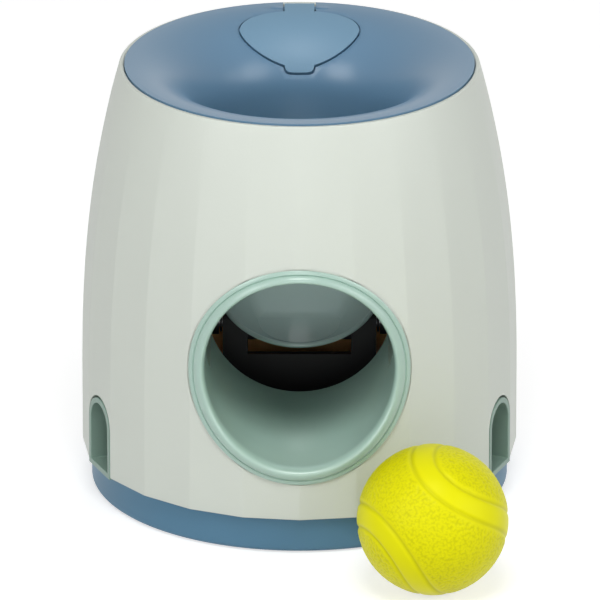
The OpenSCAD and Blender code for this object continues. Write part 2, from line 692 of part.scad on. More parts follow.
ridge_below = 22;
ridge_z = hopper_top_z - ridge_below;
floor_fall = tan(38);
end_wall = 2.5;                             // angle that an end wall of the hopper takes up, in degrees
skirt_half = 30;                            // half the angle of the skirt that carries the hopper
spout_in_x = spout_x - spout_w / 2;
spout_out_x = spout_x + spout_w / 2;
spout_top_z = ridge_z - floor_fall * spout_in_x;
gate_gap = 1;

module bin_block(r0, r1, half, z0, z1) rotate([0, 0, 90 - half])
  rotate_extrude(angle = 2 * half, $fn = 128) translate([r0, z0]) square([r1 - r0, z1 - z0]);
module bin_hollow(z0, z1)
  bin_block(hopper_in_r + bin_wall, hopper_out_r - bin_wall, hopper_half - end_wall, z0, z1);

// Floor line from the ridge down to a spout and up again beyond it, as a band from low to high
module hopper_floor(low, high) rotate([90, 0, 0]) translate([0, 0, -far]) linear_extrude(far) {
  half = [[0, ridge_z], [spout_in_x, spout_top_z], [spout_out_x, spout_top_z],
    [spout_out_x + 30, spout_top_z + 30 * floor_fall]];
  line = concat(reversed([for (p = half) [-p.x, p.y]]), half);
  polygon(concat([for (p = line) p + [0, low]], [for (p = reversed(line)) p + [0, high]]));
}

module spout_box(grow, z0, z1) for (side = [-1, 1])
  translate([side * spout_x - spout_w / 2 - grow, axle_y - spout_l / 2 - grow, z0])
    cube([spout_w + 2 * grow, spout_l + 2 * grow, z1 - z0]);

module treat_hopper() color(umber) difference() {
  union() {
    difference() {
      bin_block(hopper_in_r, hopper_out_r, hopper_half, axle_z, hopper_top_z);
      difference() {
        bin_hollow(axle_z - 1, hopper_top_z + 1);
        hopper_floor(-far, 0);
      }
      hopper_floor(-far, -bin_wall);
    }
    bin_block(hopper_out_r - bin_wall + 0.2, hopper_out_r - 0.3, skirt_half, floor_z, ridge_z);
    spout_box(bin_wall, axle_z, spout_top_z + 0.01);
    at_ears(ear_z - ear_t) {
      cylinder(r = post_r, h = ear_t);
      translate([0.3 - post_r, 0, 0.3]) cube([2 * post_r - 0.6, post_r + 2.4, ear_t - 0.6]);
    }
  }
  spout_box(0, 0, spout_top_z + 2.5);
  axle_bore(gate_r + gate_gap);
  at_ears(0) translate([0, 0, ear_z - far / 2]) cylinder(r = screw_r + pin_gap, h = far);
}

module hopper_screws() at_ears(ear_z - ear_t) screw(ear_t + screw_bite);

// Slides: open troughs that curve from under the gates to the outlets

slide_wall = 1.6;
slide_side_h = 11;                          // height of a trough's walls above its floor
slide_end_w = 14;                           // inner width of a trough at its outlet
slide_steps = 16;
slide_reach = 1.2;                          // a trough runs past its outlet's end and is cut off there
slide_legs = [0.12, 0.6];                   // places of its legs along the way
outlet_wall = 2.2;
outlet_floor_z = seam_z + outlet_wall;
outlet_in_r = flat_r - outlet_l;            // inner end of an outlet's tunnel
slide_start = [spout_x, axle_y + spout_l / 2 + 4, axle_z - 14];
slide_end = [outlet_in_r * sin(outlet_turn), -outlet_in_r * cos(outlet_turn), outlet_floor_z + 1];
slide_bend = [spout_x - 2, slide_end.y + 16, mix(slide_start.z, slide_end.z, 0.7)];

// Curve from the start to the end, drawn towards the bend, and the level direction along it
function slide_point(t) = mix(mix(slide_start, slide_bend, t), mix(slide_bend, slide_end, t), t);
function slide_way(t) = let (d = mix(slide_bend - slide_start, slide_end - slide_bend, t))
  unit([d.x, d.y, 0]);

// Section of the trough, whose floor rises to the walls' top at its closed upper end
function slide_ring(t) = let (
  p = slide_point(t), way = slide_way(t), across = [-way.y, way.x, 0],
  w = mix(slide_w, slide_end_w, min(1, t)) / 2, out = w + slide_wall, top = slide_side_h,
  low = t < 1 / slide_steps ? top - slide_wall : 0)
  [for (q = [[out, -slide_wall], [out, top], [w, top], [w, low], [-w, low], [-w, top], [-out, top],
    [-out, -slide_wall]]) p + q.x * across + [0, 0, q.y]];

module slide() color(mint) difference() {
  union() {
    stack([for (i = [0 : slide_steps]) slide_ring(slide_reach * i / slide_steps)]);
    for (t = slide_legs) let (p = slide_point(t), way = slide_way(t))
      translate([p.x, p.y, floor_z]) rotate([0, 0, atan2(way.y, way.x)])
        translate([-1, -slide_end_w / 2, 0]) cube([2, slide_end_w, p.z - floor_z - slide_wall / 2]);
  }
  at_outlet(1) translate([outlet_in_r - fit_gap, -far / 2, 0]) cube(far);
}
module right_slide() slide();
module left_slide() mirror([1, 0, 0]) slide();

// Outlets: arched tunnels with a frame flush with a facet of the casing

outlet_proud = 0.3;

module outlet() color(mint) difference() {
  translate([outlet_in_r, 0, seam_z]) arch(outlet_w, outlet_h, outlet_l + outlet_proud);
  translate([outlet_in_r - 1, 0, outlet_floor_z])
    arch(outlet_w - 2 * outlet_wall, outlet_h - 2 * outlet_wall, far);
}
module right_outlet() at_outlet(1) outlet();
module left_outlet() at_outlet(-1) outlet();

// Ball, with a smooth band along a tennis-ball seam and a groove on each side of it

seam_samples = 96;
ball_rings = 36;
ball_sides = 72;
ball_turn = [57.4, -9.3, -21.5];            // turns the seam as the ball has rolled
groove_w = 1.5;
seam_curve = [for (i = [0 : seam_samples - 1]) let (t = 360 * i / seam_samples)
  [0.75 * cos(t) + 0.25 * cos(3 * t), 0.75 * sin(t) - 0.25 * sin(3 * t), 2 * sqrt(0.1875) * sin(2 * t)]];
function seam_distance(p) = min([for (s = seam_curve) norm(p - s)]) * ball_d / 2;
function ball_radius(p) = let (d = abs(seam_distance(p) - band_w / 2))
  ball_d / 2 - groove_d * exp(-pow(d / groove_w, 2));
function ball_point(lat, lon) = let (p = [cos(lat) * cos(lon), cos(lat) * sin(lon), sin(lat)])
  p * ball_radius(p);

module ball() color(lime) translate([ball_x, ball_y, ball_d / 2]) rotate(ball_turn) {
  rings = [for (i = [1 : ball_rings - 1])
    [for (j = [0 : ball_sides - 1]) ball_point(-90 + 180 * i / ball_rings, 360 * j / ball_sides)]];
  stack(rings);
}

body_shell();
funnel_top();
filler_lid();
lid_hinge_pin();
base_pan();
rubber_feet();
base_screws();
ball_chute();
chute_screws();
chassis();
chassis_screws();
bearing_caps();
bearing_cap_screws();
stop_bumper();
tipping_bowl();
bowl_axle();
axle_clips();
counterweight();
left_gate();
right_gate();
treat_hopper();
hopper_screws();
left_slide();
right_slide();
left_outlet();
right_outlet();
ball();
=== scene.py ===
# %% [markdown]
# # A ball-drop treat dispenser for dogs
# The toy is a tapered drum of moulded plastic. A ball dropped into its funnel lands in a leaning
# bowl, tips it, opens two treat gates and rolls out of the round mouth in front. This lesson dresses
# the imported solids: it gives the seen pieces soft edges, moulded plastic and a pebbled rubber ball.
# All sizes below are in millimetres unless a comment says otherwise; Blender gets metres.

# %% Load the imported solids
import json
import math

import bmesh
import bpy
import numpy as np
from mathutils import Euler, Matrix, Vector


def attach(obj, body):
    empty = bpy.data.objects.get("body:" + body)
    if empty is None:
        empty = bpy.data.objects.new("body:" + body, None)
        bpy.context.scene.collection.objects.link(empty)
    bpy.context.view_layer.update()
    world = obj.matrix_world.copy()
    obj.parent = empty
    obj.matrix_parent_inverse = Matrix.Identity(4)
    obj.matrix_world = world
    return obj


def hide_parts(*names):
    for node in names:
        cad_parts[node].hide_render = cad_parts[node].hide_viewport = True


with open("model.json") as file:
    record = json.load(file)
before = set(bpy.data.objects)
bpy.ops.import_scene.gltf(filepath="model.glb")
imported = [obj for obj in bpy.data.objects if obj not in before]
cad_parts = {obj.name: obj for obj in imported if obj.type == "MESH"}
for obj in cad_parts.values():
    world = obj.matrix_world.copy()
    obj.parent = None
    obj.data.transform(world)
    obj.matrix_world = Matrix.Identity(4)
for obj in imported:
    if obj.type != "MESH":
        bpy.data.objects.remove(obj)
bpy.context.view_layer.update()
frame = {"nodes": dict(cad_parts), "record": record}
MM = 0.001
BODY_OF = {n: b for b, ns in frame["record"]["behaviour"]["bodies"].items() for n in ns}
SLOT_OF = {s["node"]: s["material_slot"] for s in frame["record"]["subparts"]}

# %% [markdown]
# ## Camera
# The photograph was taken from slightly above with a long lens, so upright lines hardly converge. A
# camera without perspective would be close, but would set the ball too low and too small against the
# drum. A camera 5 m away with a lens of about 750 mm gives the same flat view with the ball in place.

# %% Camera
CAMERA_RISE = math.radians(21.5)
CAMERA_AWAY = 5.0           # metres
CAMERA_LENS = 746.5
AIM = Vector((0.0002, 0.0, 0.0755))    # metres


def put(name, data):
    """A new object in the scene that shows a mesh, a lamp or a camera."""
    made = bpy.data.objects.new(name, data)
    bpy.context.scene.collection.objects.link(made)
    return made


camera_data = bpy.data.cameras.new("camera")
camera_data.lens = CAMERA_LENS
camera_data.sensor_width = 36.0
camera_data.clip_end = 50.0
camera = put("camera", camera_data)
away = Vector((0.0, -math.cos(CAMERA_RISE), math.sin(CAMERA_RISE)))
camera.location = AIM + CAMERA_AWAY * away
camera.rotation_euler = away.to_track_quat("Z", "Y").to_euler()
bpy.context.scene.camera = camera
print("camera at", tuple(round(c, 3) for c in camera.location))

# %% [markdown]
# ## World and floor
# A product shot on white: the floor and the world look white to the camera and in reflections, but
# they light the toy only at a plain level. A bright world would do both at once and wash the pale
# casing out, so a Light Path node tells the two uses apart.

# %% Node helper
def add_node(tree, kind, sockets=None, **settings):
    """A node with its settings, and its input sockets set to values or linked to other sockets."""
    made = tree.nodes.new(kind)
    for name, value in settings.items():
        setattr(made, name, value)
    for key, value in (sockets or {}).items():
        if isinstance(value, bpy.types.NodeSocket):
            tree.links.new(value, made.inputs[key])
        else:
            made.inputs[key].default_value = value
    return made


def grey(tone):
    """A grey as a shader colour, 0 black to 1 white."""
    return (tone, tone, tone, 1.0)


def seen_as_backdrop(tree):
    """1 for rays from the camera and for mirror and glass rays, 0 for rays that only light the toy."""
    path = add_node(tree, "ShaderNodeLightPath")
    seen = path.outputs["Is Camera Ray"]
    for ray in ("Is Glossy Ray", "Is Transmission Ray"):
        seen = add_node(tree, "ShaderNodeMath", {0: seen, 1: path.outputs[ray]},
                        operation="MAXIMUM").outputs[0]
    return seen


# %% World
WORLD_LIGHT = 0.12
bpy.context.scene.view_settings.view_transform = "Standard"
world = bpy.data.worlds.new("studio")
bpy.context.scene.world = world
world.use_nodes = True
sky = world.node_tree
sky.nodes.clear()
soft_light = add_node(sky, "ShaderNodeBackground", {"Color": grey(1.0), "Strength": WORLD_LIGHT})
white_sky = add_node(sky, "ShaderNodeBackground", {"Color": grey(1.0), "Strength": 1.0})
both = add_node(sky, "ShaderNodeMixShader",
                {0: seen_as_backdrop(sky), 1: soft_light.outputs[0], 2: white_sky.outputs[0]})
add_node(sky, "ShaderNodeOutputWorld", {"Surface": both.outputs[0]})
print("world light:", WORLD_LIGHT)

# %% Floor
FLOOR_HALF = 6.0            # metres
PAPER_TONE = 0.62           # the sheet as the camera sees it, in the lamps' light
PAPER_GLOW = 0.62           # what is added for the camera, so that the lit sheet is white
PAPER_BOUNCE = 0.72         # the sheet as it throws light back on the toy
floor_mesh = bpy.data.meshes.new("floor")
floor_mesh.from_pydata([(-FLOOR_HALF, -FLOOR_HALF, 0), (FLOOR_HALF, -FLOOR_HALF, 0),
                        (FLOOR_HALF, FLOOR_HALF, 0), (-FLOOR_HALF, FLOOR_HALF, 0)], [], [(0, 1, 2, 3)])
floor = put("floor", floor_mesh)
paper = bpy.data.materials.new("white_paper")
paper.use_nodes = True
paper_tree = paper.node_tree
paper_tree.nodes.clear()
plain = add_node(paper_tree, "ShaderNodeBsdfDiffuse", {"Color": grey(PAPER_TONE)})
glow = add_node(paper_tree, "ShaderNodeEmission", {"Color": grey(1.0), "Strength": PAPER_GLOW})
bounce = add_node(paper_tree, "ShaderNodeBsdfDiffuse", {"Color": grey(PAPER_BOUNCE)})
shaded = add_node(paper_tree, "ShaderNodeAddShader", {0: plain.outputs[0], 1: glow.outputs[0]})
sheet = add_node(paper_tree, "ShaderNodeMixShader",
                 {0: seen_as_backdrop(paper_tree), 1: bounce.outputs[0], 2: shaded.outputs[0]})
add_node(paper_tree, "ShaderNodeOutputMaterial", {"Surface": sheet.outputs[0]})
floor.data.materials.append(paper)
print("floor:", 2 * FLOOR_HALF, "m wide")

# %% [markdown]
# ## Lamps
# Two boxes stand to the left and right in front, a bit above the toy, so the funnel shows two soft
# highlights and each facet a tone of its own. A box high in front shines through the funnel into the
# bowl. A low one in front lights the base, a small one near the camera reaches into the mouth, and a
# weak one on the right lifts the last facets there. One behind serves the views from the back; it adds
# no highlights, since the funnel would mirror it at a glancing angle.

# %% Lamps
LAMPS = {                   # place in metres, size in metres and power in watts
    "left_box": ((-1.4, -1.35, 0.95), 1.0, 14.0),
    "right_box": ((1.5, -1.2, 0.95), 1.0, 9.9),
    "top_box": ((0.0, -1.0, 1.85), 0.7, 15.6),
    "low_box": ((0.0, -2.2, 0.35), 0.9, 4.8),
    "mouth_box": ((0.0, -2.1, 0.92), 0.4, 1.6),
    "side_box": ((1.9, -0.5, 0.6), 0.9, 3.5),
    "back_box": ((0.4, 2.2, 0.5), 0.9, 20.0),
}
LAMP_AIM = Vector((0, 0, 0.09))        # the toy's middle, in metres
for name, (place, size, power) in LAMPS.items():
    lamp = bpy.data.lights.new(name, "AREA")
    lamp.shape = "SQUARE"
    lamp.size = size
    lamp.energy = power
    holder = put(name, lamp)
    holder.location = place
    holder.visible_glossy = name != "back_box"
    holder.rotation_euler = (Vector(place) - LAMP_AIM).to_track_quat("Z", "Y").to_euler()
print("lamps:", ", ".join(LAMPS))

# %% [markdown]
# ## Moulded plastic
# Every moulded piece has the same three small faults: its colour drifts a little, its polish is not
# even, and the mould's fine grain shows. Each plastic could hold its own noise nodes, but then a change
# would have to be made ten times. So they are one node group with named inputs, placed in each plastic
# with its own values.

# %% Group: moulded surface
def new_group(name, inputs, outputs):
    """An empty node group with its sockets; returns the group, its input node and its output node."""
    group = bpy.data.node_groups.new(name, "ShaderNodeTree")
    for label, kind, value in inputs:
        made = group.interface.new_socket(name=label, in_out="INPUT", socket_type=kind)
        made.default_value = value
    for label, kind in outputs:
        group.interface.new_socket(name=label, in_out="OUTPUT", socket_type=kind)
    return group, group.nodes.new("NodeGroupInput"), group.nodes.new("NodeGroupOutput")


moulded, m_in, m_out = new_group(
    "moulded_surface",
    [("Color", "NodeSocketColor", grey(0.8)), ("Drift", "NodeSocketFloat", 0.03),
     ("Roughness", "NodeSocketFloat", 0.4), ("Polish Spread", "NodeSocketFloat", 0.08),
     ("Grain Scale", "NodeSocketFloat", 900.0)],
    [("Color", "NodeSocketColor"), ("Roughness", "NodeSocketFloat"), ("Grain", "NodeSocketFloat")])


def moulded_math(operation, first, second):
    """The result of a Math node in the group."""
    return add_node(moulded, "ShaderNodeMath", {0: first, 1: second}, operation=operation).outputs[0]


spot = add_node(moulded, "ShaderNodeTexCoord").outputs["Object"]
cloud = add_node(moulded, "ShaderNodeTexNoise", {"Vector": spot, "Scale": 14.0, "Detail": 3.0})
speck = add_node(moulded, "ShaderNodeTexNoise",
                 {"Vector": spot, "Scale": m_in.outputs["Grain Scale"], "Detail": 2.0})
centred = moulded_math("SUBTRACT", cloud.outputs["Fac"], 0.5)
level = moulded_math("ADD", moulded_math("MULTIPLY", centred, m_in.outputs["Drift"]), 1.0)
tinted = add_node(moulded, "ShaderNodeVectorMath", {0: m_in.outputs["Color"], 1: level},
                  operation="MULTIPLY")
polish = moulded_math("ADD", moulded_math("MULTIPLY", centred, m_in.outputs["Polish Spread"]),
                      m_in.outputs["Roughness"])
moulded.links.new(tinted.outputs[0], m_out.inputs["Color"])
moulded.links.new(polish, m_out.inputs["Roughness"])
moulded.links.new(speck.outputs["Fac"], m_out.inputs["Grain"])
print("group:", moulded.name, "nodes:", len(moulded.nodes))

# %% Plastics
COAT_ROUGHNESS = 0.08
GRAIN_DISTANCE = 0.0005     # metres


def srgb(r, g, b):
    """A colour read off a screen, 0 to 255, as the linear colour that shaders use."""
    def linear(c):
        c /= 255.0
        return c / 12.92 if c <= 0.04045 else ((c + 0.055) / 1.055) ** 2.4
    return (linear(r), linear(g), linear(b), 1.0)


def plastic(name, color, roughness, drift=0.03, spread=0.08, grain=0.02, grain_scale=900.0,
            coat=0.0, specular=0.5):
    """A moulded plastic: colour drift, uneven polish and fine mould grain from the shared group."""
    made = bpy.data.materials.new(name)
    made.use_nodes = True
    tree = made.node_tree
    shader = tree.nodes["Principled BSDF"]
    effect = add_node(tree, "ShaderNodeGroup", node_tree=moulded)
    for key, value in (("Color", color), ("Drift", drift), ("Roughness", roughness),
                       ("Polish Spread", spread), ("Grain Scale", grain_scale)):
        effect.inputs[key].default_value = value
    bump = add_node(tree, "ShaderNodeBump",
                    {"Height": effect.outputs["Grain"], "Strength": grain, "Distance": GRAIN_DISTANCE})
    tree.links.new(effect.outputs["Color"], shader.inputs["Base Color"])
    tree.links.new(effect.outputs["Roughness"], shader.inputs["Roughness"])
    tree.links.new(bump.outputs[0], shader.inputs["Normal"])
    shader.inputs["Coat Weight"].default_value = coat
    shader.inputs["Coat Roughness"].default_value = COAT_ROUGHNESS
    shader.inputs["Specular IOR Level"].default_value = specular
    return made


FINISH = {
    "casing": plastic("pale_casing", srgb(211, 217, 208), 0.42, grain=0.05),
    "funnel": plastic("grey_blue_funnel", srgb(101, 137, 165), 0.3, grain=0.03),
    "lid": plastic("grey_blue_lid", srgb(115, 151, 176), 0.5, grain=0.05),
    "base": plastic("grey_blue_base", srgb(86, 128, 155), 0.45, grain=0.05, specular=0.3),
    "chute": plastic("mint_gloss", srgb(169, 198, 186), 0.24, grain=0.02, coat=0.25),
    "bowl": plastic("mint_bowl", srgb(160, 182, 178), 0.16, spread=0.03, grain=0.01),
    "mechanism": plastic("mint_works", srgb(112, 136, 122), 0.4),
    "dark_plastic": plastic("black_works", srgb(26, 27, 28), 0.5),
    "hopper": plastic("brown_bin", srgb(232, 182, 122), 0.5),
    "black_rubber": plastic("black_rubber", srgb(30, 30, 32), 0.75, grain=0.2),
}
print("plastics:", ", ".join(FINISH))

# %% [markdown]
# ## Steel
# Axle, weight and screws are turned steel. A picture of brushed metal would need unwrapped faces; a
# fine noise in the roughness gives the broken shine of turning marks on any shape.

# %% Steel
def turned_steel():
    """Bright steel with fine turning marks in its roughness."""
    made = bpy.data.materials.new("turned_steel")
    made.use_nodes = True
    tree = made.node_tree
    shader = tree.nodes["Principled BSDF"]
    where = add_node(tree, "ShaderNodeTexCoord")
    marks = add_node(tree, "ShaderNodeTexNoise",
                     {"Vector": where.outputs["Object"], "Scale": 2500.0, "Detail": 2.0})
    rough = add_node(tree, "ShaderNodeMapRange",
                     {"Value": marks.outputs["Fac"], "To Min": 0.22, "To Max": 0.4})
    tree.links.new(rough.outputs[0], shader.inputs["Roughness"])
    shader.inputs["Base Color"].default_value = srgb(196, 198, 202)
    shader.inputs["Metallic"].default_value = 1.0
    return made


FINISH["steel"] = turned_steel()
print("metal:", FINISH["steel"].name)

# %% [markdown]
# ## Pieces that keep their CAD shape
# Funnel, lid, base and outlets have the right shape as packed, but knife-sharp edges and flat-shaded
# bands. They could be modelled again; it is enough to copy each one, weld it, shade it smooth up to a
# chosen angle and give it a fine bevel, as a mould leaves it.

# %% Soften a CAD node
WELD, THIN = 2e-6, 1e-6     # metres: points this close are one, faces this thin go
FLAT_ANGLE = math.radians(0.4)
SHARP_ANGLE = math.radians(32)


def dress(piece, node):
    """Lets a piece stand for a CAD node: same body, same material slot."""
    piece.data.materials.clear()
    piece.data.materials.append(FINISH[SLOT_OF[node]])
    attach(piece, BODY_OF[node])
    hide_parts(node)
    return piece


def soften(node, bevel, finish=None):
    """A welded copy of a CAD node with smooth shading and rounded edges."""
    shape = bmesh.new()
    shape.from_mesh(frame["nodes"][node].data)
    bmesh.ops.remove_doubles(shape, verts=shape.verts, dist=WELD)
    bmesh.ops.dissolve_degenerate(shape, edges=shape.edges, dist=THIN)
    bmesh.ops.dissolve_limit(shape, angle_limit=FLAT_ANGLE, verts=shape.verts, edges=shape.edges)
    mesh = bpy.data.meshes.new(node + "_soft")
    shape.to_mesh(mesh)
    shape.free()
    mesh.shade_smooth()
    mesh.set_sharp_from_angle(angle=SHARP_ANGLE)
    piece = put(node + "_soft", mesh)
    edge = piece.modifiers.new("soft_edges", "BEVEL")
    edge.width = bevel * MM
    edge.segments = 2
    edge.limit_method = "ANGLE"
    edge.angle_limit = SHARP_ANGLE
    edge.harden_normals = True
    dress(piece, node)
    if finish:
        piece.data.materials[0] = finish
    return piece


# %% Funnel, lid, base and outlets
SOFTENED = {                # bevel of each piece
    "funnel_top": 0.2, "filler_lid": 0.15, "base_pan": 0.35, "left_outlet": 0.35, "right_outlet": 0.35,
}
# painted shade: the outlets face sideways, so they take a darker copy of the chute's mint
painted_shade_mint = plastic("painted_shade_mint", srgb(134, 160, 148), 0.4, grain=0.04)
for node, width in SOFTENED.items():
    soften(node, width, finish=painted_shade_mint if node.endswith("_outlet") else None)
print("softened:", ", ".join(SOFTENED))

# %% [markdown]
# ## Casing
# The real casing has 24 flat upright facets that fade into a round rim, so neither a cylinder nor a
# prism will do. A grid of points from the casing's own formula gives both: each row is a closed ring
# and each facet has extra columns next to its corners, so the corners shade as small round edges.

# %% Casing: the skin
CASING_R, CASING_TOP_R, CASING_H = 87.5, 71.6, 178.0
TAPER_Z, TAPER_POWER = 40.0, 2.5
FACET_Z, ROUND_Z = 105.0, 176.0    # facets start to fade, and are gone
FACETS = 24
HALF_FACET = math.pi / FACETS


def skin_r(z):
    """Casing radius across its corners at height z."""
    rise = max(0.0, (z - TAPER_Z) / (CASING_H - TAPER_Z))
    return CASING_R - (CASING_R - CASING_TOP_R) * rise ** TAPER_POWER


def ease(t):
    """0 to 1 with a soft start and a soft end."""
    return t * t * (3 - 2 * t)


def facet_share(turn, z):
    """The casing's radius at an angle from a facet's middle, as a share of its corner radius."""
    flat = math.cos(HALF_FACET) / math.cos(turn)
    roundness = ease(min(1.0, max(0.0, (z - FACET_Z) / (ROUND_Z - FACET_Z))))
    return flat + (1 - flat) * roundness


print("casing radius at the rim:", round(skin_r(CASING_H), 2))

# %% Casing: the grid
SEAM_Z, RIM_Z = 15.7, 176.8        # lower edge; the rounded rim, a little below the funnel's edge
WALL, EDGE_R, RIM_EDGE = 3.2, 0.6, 0.3
RIM_IN_R, LEDGE_IN_R, SEAT_Z, LEDGE_H = 70.2, 65.9, 174.4, 2.0    # the ledge that carries the funnel
SKIN_ROWS, INNER_ROWS = 64, 24
FACET_COLUMNS = (-1.0, -0.955, -0.87, -0.5, 0.0, 0.5, 0.87, 0.955)
CORNER_SHAVE = 0.035        # taken off each corner


def casing_rows():
    """Rows of the casing's section, inside and out: (how far inside the skin, height, faceted or not)."""
    low, high = SEAM_Z, RIM_Z
    rows = [(WALL, low + 0.5, False), (WALL - 0.5, low, False), (EDGE_R, low, True),
            (0.3 * EDGE_R, low + 0.3 * EDGE_R, True)]
    rows += [(0.0, z, True) for z in np.linspace(low + EDGE_R, high - EDGE_R, SKIN_ROWS)]
    rows += [(0.3 * EDGE_R, high - 0.3 * EDGE_R, True), (0.5 * EDGE_R, high, True)]
    rows += [(skin_r(z) - r, z, False) for r, z in (
        (RIM_IN_R + RIM_EDGE, high), (RIM_IN_R, high - RIM_EDGE), (RIM_IN_R, SEAT_Z),
        (LEDGE_IN_R, SEAT_Z), (LEDGE_IN_R, SEAT_Z - LEDGE_H))]
    rows += [(WALL, z, False) for z in np.linspace(SEAT_Z - LEDGE_H, low + 4, INNER_ROWS)]
    return rows


def casing_point(facet, column, inset, z, faceted):
    """A point of the grid, in metres: column runs from -1 to 1 across a facet."""
    turn = column * HALF_FACET
    angle = (2 * facet + 1) * HALF_FACET + turn
    r = skin_r(z) - inset
    if faceted:
        r = skin_r(z) * facet_share(turn, z) - inset - (CORNER_SHAVE if column == -1.0 else 0.0)
    return (r * math.cos(angle) * MM, r * math.sin(angle) * MM, z * MM)


def grid_mesh(name, points):
    """A mesh from rows of points that close both ways, as a ring does."""
    rows, columns = len(points), len(points[0])
    faces = [(i * columns + j, i * columns + (j + 1) % columns,
              (i + 1) % rows * columns + (j + 1) % columns, (i + 1) % rows * columns + j)
             for i in range(rows) for j in range(columns)]
    mesh = bpy.data.meshes.new(name)
    mesh.from_pydata([p for row in points for p in row], [], faces)
    return mesh


casing = put("casing_shell", grid_mesh("casing_shell", [
    [casing_point(k, c, *row) for k in range(FACETS) for c in FACET_COLUMNS] for row in casing_rows()]))
print("casing grid points:", len(casing.data.vertices))

# %% [markdown]
# ### Openings and posts of the casing
# The mouth, the two arches, room for the lid's hinge and four screw posts interrupt the grid. Weaving
# them into its rows would be slow work; boolean cuts with plain prisms are exact and easy to read.

# %% Casing: tools to cut with
def face_out(mesh):
    """Turns every face of a closed mesh outwards."""
    shape = bmesh.new()
    shape.from_mesh(mesh)
    bmesh.ops.recalc_face_normals(shape, faces=shape.faces)
    shape.to_mesh(mesh)
    shape.free()
    return mesh


def prism(name, outline, low, high, place):
    """A closed prism over an outline of (u, v) points; place turns (u, v, w) into a point."""
    n = len(outline)
    points = [Vector(place(u, v, w)) * MM for w in (low, high) for u, v in outline]
    faces = [tuple(range(n - 1, -1, -1)), tuple(range(n, 2 * n))]
    faces += [(i, (i + 1) % n, n + (i + 1) % n, n + i) for i in range(n)]
    mesh = bpy.data.meshes.new(name)
    mesh.from_pydata(points, [], faces)
    return put(name, face_out(mesh))


def along_x(u, v, w):
    """For prisms that lie across the toy: outline in the side view."""
    return (w, u, v)


def upright(u, v, w):
    """For prisms that stand up: outline in the top view."""
    return (u, v, w)


def circle_points(r, count=96, u=0.0, v=0.0):
    """A circle's outline about (u, v)."""
    turns = [2 * math.pi * i / count for i in range(count)]
    return [(u + r * math.cos(t), v + r * math.sin(t)) for t in turns]


def carve(piece, tool, operation="DIFFERENCE"):
    """Cuts a tool out of a piece, or joins it on, and removes the tool."""
    step = piece.modifiers.new("carve", "BOOLEAN")
    step.operation, step.object, step.solver = operation, tool, "EXACT"
    bpy.context.view_layer.update()
    whole = piece.evaluated_get(bpy.context.evaluated_depsgraph_get())
    mesh = bpy.data.meshes.new_from_object(whole)
    piece.modifiers.clear()
    piece.data = mesh
    bpy.data.objects.remove(tool)


# %% Casing: mouth, arches and room for the hinge
CHUTE_Z, CHUTE_HOLE_R = 76.0, 41.0
OUTLET_W, OUTLET_H, OUTLET_TURN, ARCH_STEPS = 22.6, 31.3, math.radians(67.5), 24
HINGE_HALF, HINGE_Y, HINGE_Z = 11.9, (58.6, 68.7), (171.4, 177.4)
MOUTH_REACH, OUTLET_REACH = (40, 120), (74, 98)    # how far out from the axis the cuts run


def along_chute(u, v, w):
    """For prisms on the chute's axis, from the drum's axis out to the front."""
    return (u, -w, CHUTE_Z + v)


carve(casing, prism("mouth", circle_points(CHUTE_HOLE_R), *MOUTH_REACH, along_chute))
half = OUTLET_W / 2
arch = [(-half, SEAM_Z - 1), (half, SEAM_Z - 1)]
for turn in [math.pi * i / ARCH_STEPS for i in range(ARCH_STEPS + 1)]:
    arch.append((half * math.cos(turn), SEAM_Z + OUTLET_H - half + half * math.sin(turn)))
for side in (-1, 1):
    out = (side * math.sin(OUTLET_TURN), -math.cos(OUTLET_TURN))
    carve(casing, prism("outlet", arch, *OUTLET_REACH,
                        lambda u, v, w: (w * out[0] - u * out[1], w * out[1] + u * out[0], v)))
hinge_room = [(-HINGE_HALF, HINGE_Y[0]), (HINGE_HALF, HINGE_Y[0]),
              (HINGE_HALF, HINGE_Y[1]), (-HINGE_HALF, HINGE_Y[1])]
carve(casing, prism("hinge_room", hinge_room, *HINGE_Z, upright))
print("casing faces with its openings:", len(casing.data.polygons))

# %% Casing: screw posts
POST_R, POST_LOW, POST_HIGH, POST_PLACE_R, POST_SIDES = 4.5, 16.0, 50.0, 76.5, 32
POST_TURNS = (40, 140, 220, 320)       # degrees from the front
WEB_HALF, WEB_OUT_R, WEB_LOW, WEB_SHORT = 1.2, 85.3, 20, 0.2
SCREW_R, SCREW_HIGH = 1.56, 30.0
web = [(POST_PLACE_R, -WEB_HALF), (WEB_OUT_R, -WEB_HALF), (WEB_OUT_R, WEB_HALF), (POST_PLACE_R, WEB_HALF)]
for turn in POST_TURNS:
    east, north = math.sin(math.radians(turn)), -math.cos(math.radians(turn))
    at = (POST_PLACE_R * east, POST_PLACE_R * north)
    carve(casing, prism("post", circle_points(POST_R, POST_SIDES, *at), POST_LOW, POST_HIGH, upright),
          "UNION")
    carve(casing, prism("web", web, WEB_LOW, POST_HIGH - WEB_SHORT,
                        lambda u, v, w: (u * east - v * north, u * north + v * east, w)), "UNION")
    carve(casing, prism("bore", circle_points(SCREW_R, POST_SIDES, *at), POST_LOW - 1, SCREW_HIGH, upright))
print("posts:", len(POST_TURNS))

# %% [markdown]
# ## Ball chute
# The mouth's lip is a rolled bead with a thin flange round it, and it bends with the drum. A bent tube
# with a bevelled edge would come out uneven, so the chute is a ring of sections, each measured out from
# the casing's round skin: that gives the bend without the kinks of a faceted solid. The mouth is a
# touch taller than wide. The roof over the inner end is cut away for the ball to drop in, and two posts
# below take the screws.

